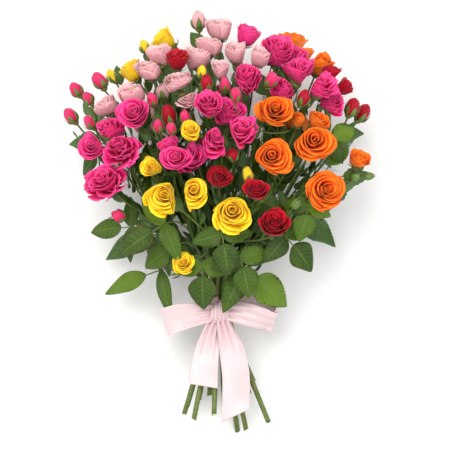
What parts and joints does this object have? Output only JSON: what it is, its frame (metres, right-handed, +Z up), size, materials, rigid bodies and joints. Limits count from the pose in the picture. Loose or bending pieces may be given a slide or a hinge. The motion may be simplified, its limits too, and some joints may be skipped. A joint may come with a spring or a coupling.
{
  "type": "spray rose bouquet",
  "caption": "Hand-tied bouquet of mixed-colour spray roses with leafy stems and a satin ribbon bow, lying on its back.",
  "frame": {"origin": "centre of the bounding box in X and Y, at the surface that the bouquet lies on", "axes": "+Y from the cut stem ends towards the flowers, +Z up from the surface, +X to the right as seen from above with the flowers at the top"},
  "size_m": [0.313, 0.4234, 0.197],
  "materials": {
    "pink_petals": "soft petal, hot pink",
    "blush_petals": "soft petal, light pink",
    "yellow_petals": "soft petal, golden yellow",
    "orange_petals": "soft petal, orange",
    "red_petals": "soft petal, crimson",
    "foliage": "leaf and stem, slightly waxy",
    "binding": "wound natural fibre twine",
    "satin_ribbon": "pale pink satin"
  },
  "bodies": {
    "root": {"pink_rose_1": "pink_petals", "pink_rose_2": "pink_petals", "pink_rose_3": "pink_petals", "pink_rose_4": "pink_petals", "pink_rose_5": "pink_petals", "pink_rose_6": "pink_petals", "pink_rose_7": "pink_petals", "pink_rose_8": "pink_petals", "pink_rose_9": "pink_petals", "pink_rose_10": "pink_petals", "pink_rose_11": "pink_petals", "blush_rose_1": "blush_petals", "blush_rose_2": "blush_petals", "blush_rose_3": "blush_petals", "blush_rose_4": "blush_petals", "blush_rose_5": "blush_petals", "blush_rose_6": "blush_petals", "blush_rose_7": "blush_petals", "blush_rose_8": "blush_petals", "blush_rose_9": "blush_petals", "yellow_rose_1": "yellow_petals", "yellow_rose_2": "yellow_petals", "yellow_rose_3": "yellow_petals", "yellow_rose_4": "yellow_petals", "yellow_rose_5": "yellow_petals", "yellow_rose_6": "yellow_petals", "yellow_rose_7": "yellow_petals", "orange_rose_1": "orange_petals", "orange_rose_2": "orange_petals", "orange_rose_3": "orange_petals", "orange_rose_4": "orange_petals", "orange_rose_5": "orange_petals", "orange_rose_6": "orange_petals", "orange_rose_7": "orange_petals", "red_rose_1": "red_petals", "red_rose_2": "red_petals", "red_rose_3": "red_petals", "red_rose_4": "red_petals", "red_rose_5": "red_petals", "red_rose_6": "red_petals", "stem_pink_1": "foliage", "stem_pink_2": "foliage", "stem_pink_3": "foliage", "stem_pink_4": "foliage", "stem_pink_5": "foliage", "stem_pink_6": "foliage", "stem_pink_7": "foliage", "stem_blush_1": "foliage", "stem_blush_2": "foliage", "stem_blush_3": "foliage", "stem_yellow_1": "foliage", "stem_yellow_2": "foliage", "stem_orange_1": "foliage", "stem_orange_2": "foliage", "stem_orange_3": "foliage", "stem_red_1": "foliage", "stem_red_2": "foliage", "stem_red_3": "foliage", "binding": "binding", "satin_ribbon": "satin_ribbon"}
  },
  "joints": []
}
